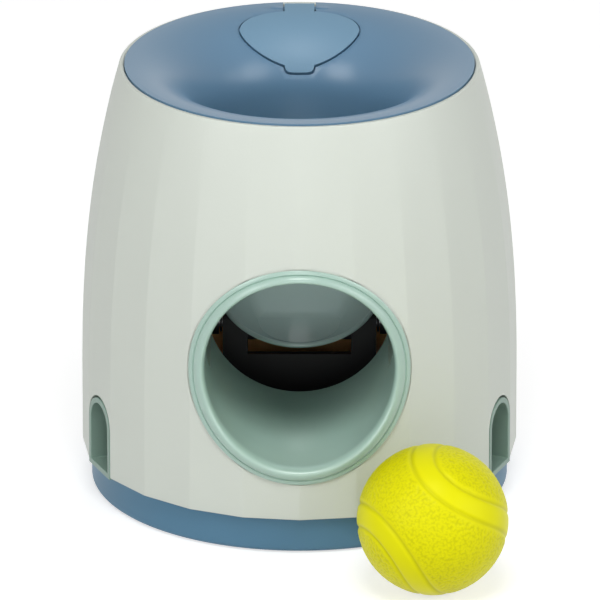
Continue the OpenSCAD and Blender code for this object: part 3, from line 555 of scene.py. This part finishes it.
# %% Chute: the section
CHUTE_R, CHUTE_OUT_R, CHUTE_END_Y = 37.5, 39.5, -6.5
LIP_IN, LIP_IN_RISE, LIP_OUT = (37.6, 38.5), 0.7, (44.1, 44.8)    # half widths across and up
FLANGE_W, FLANGE_H, FLANGE_EDGE, FLANGE_DROP = 1.9, 0.55, 0.4, 0.3
BEAD_H, GROOVE_H, LIP_UNDER = 2.2, 0.15, 0.05
FLARE_IN, FLARE_OUT, NECK_R = -16.0, -3.0, 40.4    # where the mouth starts and ends to widen
CREST = 0.45                # the bead's top, as a share of its width
FLARE_STEPS, BEAD_STEPS = 7, 10


def oval_r(turn, half, rise=0.0):
    """Distance from the chute's axis to an oval, at an angle; its middle may lie above the axis."""
    c, s, lift = math.cos(turn) / half[0], math.sin(turn) / half[1], rise / half[1]
    return (s * lift + math.sqrt((s * lift) ** 2 - (c * c + s * s) * (lift * lift - 1))) / (c * c + s * s)


def chute_section(turn):
    """Tube and lip at one angle: distance from the axis, and out of the casing (None: the inner end)."""
    r_in, r_out = oval_r(turn, LIP_IN, LIP_IN_RISE), oval_r(turn, LIP_OUT)
    bead_out = r_out - FLANGE_W
    crest = r_in + CREST * (bead_out - r_in)
    tube = [(CHUTE_R, None)] + [
        (CHUTE_R + (r_in - CHUTE_R) * ease(t), FLARE_IN + (FLARE_OUT - FLARE_IN) * t)
        for t in np.linspace(0, 1, FLARE_STEPS)]
    bend = np.linspace(0, math.pi / 2, BEAD_STEPS)[1:]
    bead = [(crest - (crest - r_in) * math.cos(a), FLARE_OUT + (BEAD_H - FLARE_OUT) * math.sin(a))
            for a in bend]
    bead += [(crest + (bead_out - crest) * math.sin(a), GROOVE_H + (BEAD_H - GROOVE_H) * math.cos(a))
             for a in bend]
    flange = [(bead_out + FLANGE_EDGE, FLANGE_H), (r_out - FLANGE_EDGE, FLANGE_H),
              (r_out, FLANGE_H - FLANGE_DROP), (r_out, LIP_UNDER)]
    back = [(NECK_R, LIP_UNDER), (NECK_R, FLARE_OUT), (CHUTE_OUT_R, FLARE_IN), (CHUTE_OUT_R, None)]
    return tube + bead + flange + back


def chute_point(turn, r, out):
    """A point of the chute, in metres, on the section at an angle about the chute's axis."""
    x, z = r * math.cos(turn), CHUTE_Z + r * math.sin(turn)
    y = CHUTE_END_Y if out is None else -math.sqrt(skin_r(z) ** 2 - x * x) - out
    return (x * MM, y * MM, z * MM)


print("points in a section:", len(chute_section(0.0)))

# %% Chute: tube, cut-away and posts
CHUTE_TURNS = 192
CUT_Y, CUT_Z, CUT_FAR, CUT_TOP, CUT_HALF = -45.0, 64.0, 60, 180, 60
CHUTE_POST_X, CHUTE_POST_Y, CHUTE_POST_LOW, CHUTE_POST_BORE = 16.0, -24.5, 6.0, 20.0
POST_INTO, TUBE_SKIN, TUBE_REACH = 6, 0.8, (-10, 70)


def swept_ring(name, section):
    """An object of the chute's kind: a section for each angle, joined into a closed ring."""
    turns = [2 * math.pi * i / CHUTE_TURNS for i in range(CHUTE_TURNS)]
    rows = [[chute_point(t, *row) for row in section(t)] for t in turns]
    return put(name, face_out(grid_mesh(name, rows)))


chute = swept_ring("mouth_chute", chute_section)
carve(chute, prism("cut", [(CUT_Y, CUT_Z), (CUT_FAR, CUT_Z), (CUT_FAR, CUT_TOP), (CUT_Y, CUT_TOP)],
                   -CUT_HALF, CUT_HALF, along_x))
for side in (-1, 1):
    at = (side * CHUTE_POST_X, CHUTE_POST_Y)
    post = prism("post", circle_points(POST_R, POST_SIDES, *at), CHUTE_POST_LOW,
                 CHUTE_Z - CHUTE_R + POST_INTO, upright)
    carve(post, prism("tube", circle_points(CHUTE_R + TUBE_SKIN), *TUBE_REACH, along_chute))
    carve(chute, post, "UNION")
    carve(chute, prism("bore", circle_points(SCREW_R, POST_SIDES, *at), CHUTE_POST_LOW - 1,
                       CHUTE_POST_BORE, upright))
chute.data.shade_smooth()
chute.data.set_sharp_from_angle(angle=math.radians(38))
dress(chute, "ball_chute")
print("chute faces:", len(chute.data.polygons))

# %% [markdown]
# ### The gap round the lip
# Where two mouldings meet, a fine dark line shows. Paint would not follow the light, so a real gap is
# cut into the casing round the flange, with a ring made just as the chute is. The casing is then
# complete: weighted normals keep its facets flat up to their corners.

# %% Casing: gap round the lip, then shading
SEAM_GAP, SEAM_DEEP, SEAM_UNDER, SEAM_REACH = 0.4, 0.6, 1.5, 3.0
FACET_WEIGHT = 80


def seam_section(turn):
    """The gap's section at one angle, in the chute's terms."""
    r = oval_r(turn, LIP_OUT)
    return [(r - SEAM_UNDER, -SEAM_DEEP), (r + SEAM_GAP, -SEAM_DEEP),
            (r + SEAM_GAP, SEAM_REACH), (r - SEAM_UNDER, SEAM_REACH)]


carve(casing, swept_ring("seam_ring", seam_section))
casing.data.shade_smooth()
casing.data.set_sharp_from_angle(angle=math.radians(30))
flat = casing.modifiers.new("flat_facets", "WEIGHTED_NORMAL")
flat.keep_sharp = True
flat.weight = FACET_WEIGHT
dress(casing, "body_shell")
print("casing faces:", len(casing.data.polygons))

# %% [markdown]
# ## Tipping bowl
# The bowl is a shallow glossy dish that leans back towards the funnel. Two lugs hold it on the axle and
# an arm behind carries the weight's cradle. A packed dish shades in thin rays, so this one is spun anew
# from its section, with even rows and a rounded rim.

# %% Bowl: the section
BOWL_R, BOWL_FLOOR_R, BOWL_DEPTH, BOWL_WALL, BOWL_CORNER = 32.5, 18.0, 14.0, 2.0, 8.0
BOWL_SLOPE = math.atan2(BOWL_DEPTH, BOWL_R - BOWL_FLOOR_R)
CORNER_AT = BOWL_FLOOR_R - BOWL_CORNER * math.tan(BOWL_SLOPE / 2)
FLOOR_STEPS, CORNER_STEPS, WALL_STEPS, RIM_STEPS = 6, 12, 8, 18
RIM_HIGH = 0.65             # how far the rounded rim stands over the wall's end


def bowl_side(out):
    """Section of the bowl from its middle to its rim, at a distance out from the inner face."""
    floor_points = [(r, -out) for r in np.linspace(0, CORNER_AT, FLOOR_STEPS)]
    bend = [(CORNER_AT + (BOWL_CORNER + out) * math.sin(a), BOWL_CORNER - (BOWL_CORNER + out) * math.cos(a))
            for a in np.linspace(0, BOWL_SLOPE, CORNER_STEPS)[1:]]
    rim = (BOWL_R + out * math.sin(BOWL_SLOPE), BOWL_DEPTH - out * math.cos(BOWL_SLOPE))
    wall = [tuple(np.array(bend[-1]) + (np.array(rim) - bend[-1]) * t)
            for t in np.linspace(0, 1, WALL_STEPS)[1:]]
    return floor_points + bend + wall


def bowl_rim():
    """Rounded edge from the inner face over to the outer one."""
    across = np.array((math.sin(BOWL_SLOPE), -math.cos(BOWL_SLOPE))) * BOWL_WALL / 2
    up = np.array((math.cos(BOWL_SLOPE), math.sin(BOWL_SLOPE))) * RIM_HIGH
    middle = np.array((BOWL_R, BOWL_DEPTH)) + across
    return [tuple(middle - across * math.cos(a) + up * math.sin(a))
            for a in np.linspace(0, math.pi, RIM_STEPS + 1)[1:-1]]


bowl_section = bowl_side(0.0) + bowl_rim() + bowl_side(BOWL_WALL)[::-1]
print("points in the bowl's section:", len(bowl_section))

# %% Bowl: the dish
AXLE_Y, AXLE_Z = 32.0, 53.5
BOWL_LEAN, BOWL_SHIFT, BOWL_LIFT = math.radians(30), 4.0, 8.2    # place of the bowl on its axle
BOWL_TURNS = 128


def in_bowl(x, y, z):
    """A point of the bowl's own frame as it leans on its axle."""
    c, s = math.cos(BOWL_LEAN), math.sin(BOWL_LEAN)
    y, z = y + BOWL_SHIFT, z + BOWL_LIFT
    return (x, AXLE_Y + c * y - s * z, AXLE_Z + s * y + c * z)


def spun_mesh(name, section, count=BOWL_TURNS):
    """A section that starts and ends on the bowl's axis, spun into a closed mesh."""
    rings = section[1:-1]
    turns = [2 * math.pi * j / count for j in range(count)]
    points = [in_bowl(r * math.cos(t), r * math.sin(t), z) for r, z in rings for t in turns]
    points += [in_bowl(0, 0, section[0][1]), in_bowl(0, 0, section[-1][1])]
    first, last, end = len(points) - 2, len(points) - 1, (len(rings) - 1) * count
    faces = [(i * count + j, i * count + (j + 1) % count,
              (i + 1) * count + (j + 1) % count, (i + 1) * count + j)
             for i in range(len(rings) - 1) for j in range(count)]
    faces += [(first, (j + 1) % count, j) for j in range(count)]
    faces += [(last, end + j, end + (j + 1) % count) for j in range(count)]
    mesh = bpy.data.meshes.new(name)
    mesh.from_pydata([Vector(p) * MM for p in points], [], faces)
    return face_out(mesh)


bowl = put("bowl_dish", spun_mesh("bowl_dish", bowl_section))
print("dish faces:", len(bowl.data.polygons))

# %% [markdown]
# ### Ramp to the front lip
# A flat ramp runs from the bowl's floor to its front lip, level while the bowl is at rest. It could be
# bent out of the dish point by point. A block that fills the dish, cut to the ramp's side view and
# joined on, keeps the crease straight.

# %% Bowl: ramp
RAMP_Y, RAMP_RISE, RAMP_BEND, RAMP_SKIN = -7.5, math.radians(28.5), 9.0, 1.0
RAMP_STEPS, RAMP_FRONT, RAMP_BELOW, RAMP_HALF = 12, -60, -20, 50


def ramp_outline():
    """Side view of the ramp, in the bowl's frame: a hollow bend up from the floor, then a flat slope."""
    start = RAMP_Y + RAMP_BEND * math.tan(RAMP_RISE / 2)
    bend = [(start - RAMP_BEND * math.sin(a), RAMP_BEND * (1 - math.cos(a)))
            for a in np.linspace(0, RAMP_RISE, RAMP_STEPS)]
    front_top = (RAMP_Y - RAMP_FRONT) * math.tan(RAMP_RISE)
    return bend + [(RAMP_FRONT, front_top), (RAMP_FRONT, RAMP_BELOW), (start, RAMP_BELOW)]


ramp = put("ramp", spun_mesh("ramp", bowl_side(RAMP_SKIN) + [(0.0, BOWL_DEPTH - RAMP_SKIN)]))
carve(ramp, prism("slope", ramp_outline(), -RAMP_HALF, RAMP_HALF, lambda u, v, w: in_bowl(w, u, v)),
      "INTERSECT")
carve(bowl, ramp, "UNION")
print("faces with the ramp:", len(bowl.data.polygons))

# %% [markdown]
# ### Lugs, arm and cradle
# Under the dish sit the two lugs on the axle and the arm with the weight's cradle. They show only from
# below and through the mouth, so plain prisms with round bores, joined on, are enough.

# %% Bowl: lugs, arm and cradle
LUG_X, LUG_T, LUG_R, LUG_INSET = 13.0, 6.0, 5.0, 0.4
LUG_BLOCK = ((-8.3, -8.2), (0.3, -8.2), (0.3, -0.8), (-8.3, -0.8))    # side view in the bowl's frame
WEIGHT_Y, WEIGHT_Z, WEIGHT_R, CRADLE_R, CRADLE_HALF = AXLE_Y + 24, AXLE_Z + 2.5, 6.0, 8.0, 13.0
ARM = [(AXLE_Y + 1, AXLE_Z + 6), (AXLE_Y + 12, AXLE_Z - 2), (WEIGHT_Y, WEIGHT_Z - CRADLE_R + 3),
       (WEIGHT_Y + 2, WEIGHT_Z + CRADLE_R - 0.5), (AXLE_Y + 11, AXLE_Z + 14.7), (AXLE_Y + 1, AXLE_Z + 8.5)]
ARM_HALF, PIN_R, BORE_PLAY, BORE_HALF = 3.0, 2.06, 0.06, 40


def bar(name, r, sides, y, z, low, high):
    """A round bar across the toy."""
    return prism(name, circle_points(r, sides, y, z), low, high, along_x)


lug_block = [in_bowl(0, y, z)[1:] for y, z in LUG_BLOCK]
for side in (-1, 1):
    ends = sorted((side * LUG_X, side * (LUG_X + LUG_T)))
    carve(bowl, prism("lug_block", lug_block, ends[0] + LUG_INSET, ends[1] - LUG_INSET, along_x), "UNION")
    carve(bowl, bar("lug", LUG_R, 64, AXLE_Y, AXLE_Z, *ends), "UNION")
carve(bowl, prism("arm", ARM, -ARM_HALF, ARM_HALF, along_x), "UNION")
carve(bowl, bar("cradle", CRADLE_R, 64, WEIGHT_Y, WEIGHT_Z, -CRADLE_HALF, CRADLE_HALF), "UNION")
carve(bowl, bar("axle_bore", PIN_R, 48, AXLE_Y, AXLE_Z, -BORE_HALF, BORE_HALF))
carve(bowl, bar("weight_bore", WEIGHT_R + BORE_PLAY, 64, WEIGHT_Y, WEIGHT_Z, -BORE_HALF, BORE_HALF))
bowl.data.shade_smooth()
bowl.data.set_sharp_from_angle(angle=math.radians(13))
even = bowl.modifiers.new("even_shading", "WEIGHTED_NORMAL")
even.keep_sharp = True
dress(bowl, "tipping_bowl")
print("bowl faces:", len(bowl.data.polygons))

# %% [markdown]
# ## Ball
# The ball is one piece of solid rubber. A smooth raised band runs along a tennis-ball seam with a
# groove on each side, and the rest is pebbled. Bump in the material would leave the outline smooth, so
# all of it is real relief: a fine sphere whose points move in and out with their distance from the seam
# and with a scatter of small domes.

# %% Ball: seam and pebbles
SEAM_WIDE, SEAM_WAVE, SEAM_LIFT, SEAM_POINTS = 0.75, 0.25, math.sqrt(0.75), 720
PEBBLES, PEBBLE_NUDGE, SEED = 10000, 0.009, 7


def unit_rows(v):
    """Each row of an array, made one long."""
    return v / np.linalg.norm(v, axis=1, keepdims=True)


def seam_points():
    """Points along the seam on the unit sphere."""
    t = np.linspace(0, 2 * math.pi, SEAM_POINTS, endpoint=False)
    return np.stack([SEAM_WIDE * np.cos(t) + SEAM_WAVE * np.cos(3 * t),
                     SEAM_WIDE * np.sin(t) - SEAM_WAVE * np.sin(3 * t), SEAM_LIFT * np.sin(2 * t)], axis=1)


def pebble_centres():
    """An even spiral of points over the sphere, each nudged aside, always the same way."""
    chance = np.random.default_rng(SEED)
    i = np.arange(PEBBLES) + 0.5
    height = 1 - 2 * i / PEBBLES
    angle = math.pi * (1 + math.sqrt(5)) * i
    level = np.sqrt(1 - height ** 2)
    spiral = np.stack([level * np.cos(angle), level * np.sin(angle), height], axis=1)
    return unit_rows(spiral + chance.normal(0, PEBBLE_NUDGE, spiral.shape))


def nearest(points, others):
    """Distance from each point to the nearest of the others, both on the unit sphere."""
    batch = 64
    found = np.full(len(points), -1.0)
    for start in range(0, len(others), batch):
        found = np.maximum(found, (points @ others[start:start + batch].T).max(axis=1))
    return np.sqrt(np.maximum(0.0, 2 - 2 * found))


print("seam points:", SEAM_POINTS, "pebbles:", PEBBLES)

# %% Ball: relief
BALL_R, BALL_AT = 30.0, Vector((52.5, -120.5, 30.0))
BALL_TURN = Euler([math.radians(a) for a in (57.4, -9.3, -21.5)])
BALL_SINK = 0.17            # the pebbles' middle lies this far inside the ball
BAND_HALF, BAND_CROWN, GROOVE_DEEP, GROOVE_HALF = 4.75, 0.12, 0.6, 0.85
PEBBLE_HIGH, PEBBLE_R, PEBBLE_START, PEBBLE_FADE = 0.3, 0.7, 0.9, 1.6


def ball_piece():
    """The ball's mesh, with how deep each point lies kept for the material's painted shade."""
    shape = bmesh.new()
    bmesh.ops.create_icosphere(shape, subdivisions=7, radius=1.0)
    mesh = bpy.data.meshes.new("pebbled_ball")
    shape.to_mesh(mesh)
    shape.free()
    points = np.zeros(len(mesh.vertices) * 3)
    mesh.vertices.foreach_get("co", points)
    points = unit_rows(points.reshape(-1, 3))
    off = nearest(points, seam_points()) * BALL_R
    groove = np.exp(-((off - BAND_HALF) / GROOVE_HALF) ** 2)
    crown = BAND_CROWN * np.clip(1 - (off / BAND_HALF) ** 2, 0, 1)
    rough = np.clip((off - BAND_HALF - PEBBLE_START) / PEBBLE_FADE, 0, 1)
    dome = np.clip(1 - (nearest(points, pebble_centres()) * BALL_R / PEBBLE_R) ** 2, 0, 1)
    r = BALL_R - BALL_SINK - GROOVE_DEEP * groove + crown + rough * PEBBLE_HIGH * (dome - 0.5)
    turned = (points * r[:, None]) @ np.array(BALL_TURN.to_matrix()).T + np.array(BALL_AT)
    mesh.vertices.foreach_set("co", (turned * MM).ravel())
    # painted shade: how deep each point lies, which darkens the rubber's colour in the grooves and between
    # pebbles
    shade_depth = mesh.attributes.new("painted_crevice_shade", "FLOAT", "POINT")
    shade_depth.data.foreach_set("value", np.maximum(groove, rough * (1 - dome)))
    mesh.update()
    mesh.shade_smooth()
    return put("pebbled_ball", mesh)


ball = ball_piece()
print("ball faces:", len(ball.data.polygons))

# %% [markdown]
# ### Rubber of the ball
# Lemon rubber with a dull shine. Shade is painted into its colour: a little darker between the pebbles
# and in the grooves. The relief already knows how deep each point lies, so the material reads that
# instead of guessing it from a second noise.

# %% Ball: rubber
# painted shade: the rubber's colour in the deepest places
CREVICE_SHADE_LEVEL = 0.8         # colour in the deepest places, as a share of the clean colour


def lemon_rubber():
    """Yellow rubber with painted shade: a little darker between the pebbles and in the grooves."""
    made = plastic("lemon_rubber", srgb(235, 231, 6), 0.42, drift=0.05, grain=0.05, specular=0.3)
    tree = made.node_tree
    shader = tree.nodes["Principled BSDF"]
    clean = shader.inputs["Base Color"].links[0].from_socket
    # painted shade: the colour darkens with the depth kept on the mesh
    shade_depth = add_node(tree, "ShaderNodeAttribute", attribute_name="painted_crevice_shade")
    level = add_node(tree, "ShaderNodeMapRange",
                     {"Value": shade_depth.outputs["Fac"], "To Min": 1.0, "To Max": CREVICE_SHADE_LEVEL})
    shaded = add_node(tree, "ShaderNodeVectorMath", {0: clean, 1: level.outputs[0]}, operation="MULTIPLY")
    tree.links.new(shaded.outputs[0], shader.inputs["Base Color"])
    shader.inputs["Specular Tint"].default_value = (1.0, 1.0, 0.35, 1.0)
    return made


FINISH["ball"] = lemon_rubber()
dress(ball, "ball")
print("ball finish:", FINISH["ball"].name)

# %% [markdown]
# ## Works inside
# Chassis, axle, gates, hopper, slides, screws and feet show only through the mouth, the throat and the
# outlets, or from below. Their CAD solids are the right shape, so they stay and take the same kind of
# materials.

# %% Works
REPLACED = set(SOFTENED) | {"body_shell", "ball_chute", "tipping_bowl", "ball"}
works = sorted(set(frame["nodes"]) - REPLACED)
for node in works:
    slots = frame["nodes"][node].data.materials
    slots.clear()
    slots.append(FINISH[SLOT_OF[node]])
print("works:", len(works))
